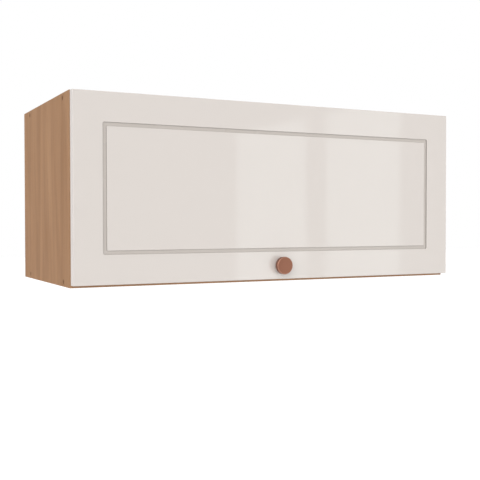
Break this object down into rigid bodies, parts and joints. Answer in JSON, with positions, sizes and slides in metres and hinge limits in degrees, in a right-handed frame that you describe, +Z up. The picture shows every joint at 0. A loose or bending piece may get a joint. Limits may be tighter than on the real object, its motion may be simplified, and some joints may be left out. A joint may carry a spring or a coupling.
{
  "type": "lift up wall cabinet",
  "caption": "Low wall cabinet with a top-hung lift-up flap on concealed cup hinges, held by gas struts, with a round knob.",
  "frame": {"origin": "on the wall plane, midway between the two wall screw holes", "axes": "+X to the right seen from the front, +Y into the wall, +Z up; the flap faces -Y"},
  "size_m": [0.7, 0.3405, 0.294],
  "materials": {
    "wood_pattern_board": "light brown wood-pattern foil, satin",
    "edge_foil": "wood-pattern edge foil, satin",
    "hardboard": "bare brown hardboard",
    "beech": "bare beech",
    "bronzed_steel": "bronzed",
    "gloss_lacquer": "off-white gloss lacquer on board",
    "copper_finish": "copper-coloured satin metal",
    "clear_rubber": "clear soft rubber",
    "zinc_steel": "zinc plated",
    "nickel_steel": "nickel plated",
    "black_plastic": "black moulded plastic",
    "black_steel": "black paint",
    "chromed_rod": "ground and chromed"
  },
  "bodies": {
    "carcass": {"side_panel_left": "wood_pattern_board", "side_panel_right": "wood_pattern_board", "top_panel": "wood_pattern_board", "bottom_panel": "wood_pattern_board", "back_panel": "hardboard", "hanging_rail": "wood_pattern_board", "edge_bands": "edge_foil", "dowels": "beech", "carcass_screws_left": "bronzed_steel", "carcass_screws_right": "bronzed_steel", "back_nails": "zinc_steel", "hinge_plate_left": "nickel_steel", "hinge_plate_right": "nickel_steel", "hinge_arm_left": "nickel_steel", "hinge_arm_right": "nickel_steel", "hinge_arm_pins_left": "nickel_steel", "hinge_arm_pins_right": "nickel_steel", "hinge_plate_screws": "zinc_steel", "hinge_arm_screws": "zinc_steel", "strut_side_bracket_left": "nickel_steel", "strut_side_bracket_right": "nickel_steel", "strut_side_stud_left": "nickel_steel", "strut_side_stud_right": "nickel_steel", "strut_side_screws": "zinc_steel"},
    "outer_links": {"hinge_outer_links_left": "nickel_steel", "hinge_outer_links_right": "nickel_steel"},
    "flap": {"flap_panel": "gloss_lacquer", "knob": "copper_finish", "knob_screw": "zinc_steel", "flap_buffers": "clear_rubber", "hinge_cup_left": "nickel_steel", "hinge_cup_right": "nickel_steel", "hinge_cup_pins_left": "nickel_steel", "hinge_cup_pins_right": "nickel_steel", "hinge_cup_screws": "zinc_steel", "strut_flap_bracket_left": "nickel_steel", "strut_flap_bracket_right": "nickel_steel", "strut_flap_stud_left": "nickel_steel", "strut_flap_stud_right": "nickel_steel", "strut_flap_screws": "zinc_steel"},
    "inner_links": {"hinge_inner_link_left": "nickel_steel", "hinge_inner_link_right": "nickel_steel"},
    "left_tube": {"strut_tube_left": "black_steel", "strut_tube_socket_left": "black_plastic", "strut_guide_left": "black_plastic"},
    "right_tube": {"strut_tube_right": "black_steel", "strut_tube_socket_right": "black_plastic", "strut_guide_right": "black_plastic"},
    "left_rod": {"strut_rod_left": "chromed_rod", "strut_rod_socket_left": "black_plastic"},
    "right_rod": {"strut_rod_right": "chromed_rod", "strut_rod_socket_right": "black_plastic"}
  },
  "joints": [
    {"name": "outer_links_swing", "type": "hinge", "parent": "carcass", "child": "outer_links", "pos_m": [0, -0.31, 0.009], "axis": [1, 0, 0], "range_deg": [0, 41.95]},
    {"name": "flap_lift", "type": "hinge", "parent": "outer_links", "child": "flap", "pos_m": [0, -0.3138, 0.0315], "axis": [-1, 0, 0], "range_deg": [0, 131.94]},
    {"name": "inner_links_swing", "type": "hinge", "parent": "carcass", "child": "inner_links", "pos_m": [0, -0.319, 0.0106], "axis": [1, 0, 0], "range_deg": [0, 44.65]},
    {"name": "left_tube_pivot", "type": "hinge", "parent": "carcass", "child": "left_tube", "pos_m": [-0.321, -0.161, 0.0165], "axis": [-1, 0, 0], "range_deg": [0, 36.37]},
    {"name": "left_rod_pivot", "type": "hinge", "parent": "flap", "child": "left_rod", "pos_m": [-0.321, -0.301, -0.091], "axis": [1, 0, 0], "range_deg": [0, 53.65]},
    {"name": "right_tube_pivot", "type": "hinge", "parent": "carcass", "child": "right_tube", "pos_m": [0.321, -0.161, 0.0165], "axis": [-1, 0, 0], "range_deg": [0, 36.37]},
    {"name": "right_rod_pivot", "type": "hinge", "parent": "flap", "child": "right_rod", "pos_m": [0.321, -0.301, -0.091], "axis": [1, 0, 0], "range_deg": [0, 53.65]}
  ],
  "couplings": [
    {"joint": "outer_links_swing", "follows": "flap_lift", "ratio": 0.31787},
    {"joint": "inner_links_swing", "follows": "flap_lift", "ratio": 0.33834},
    {"joint": "left_tube_pivot", "follows": "flap_lift", "ratio": 0.27558},
    {"joint": "left_rod_pivot", "follows": "flap_lift", "ratio": 0.40655},
    {"joint": "right_tube_pivot", "follows": "flap_lift", "ratio": 0.27558},
    {"joint": "right_rod_pivot", "follows": "flap_lift", "ratio": 0.40655}
  ]
}
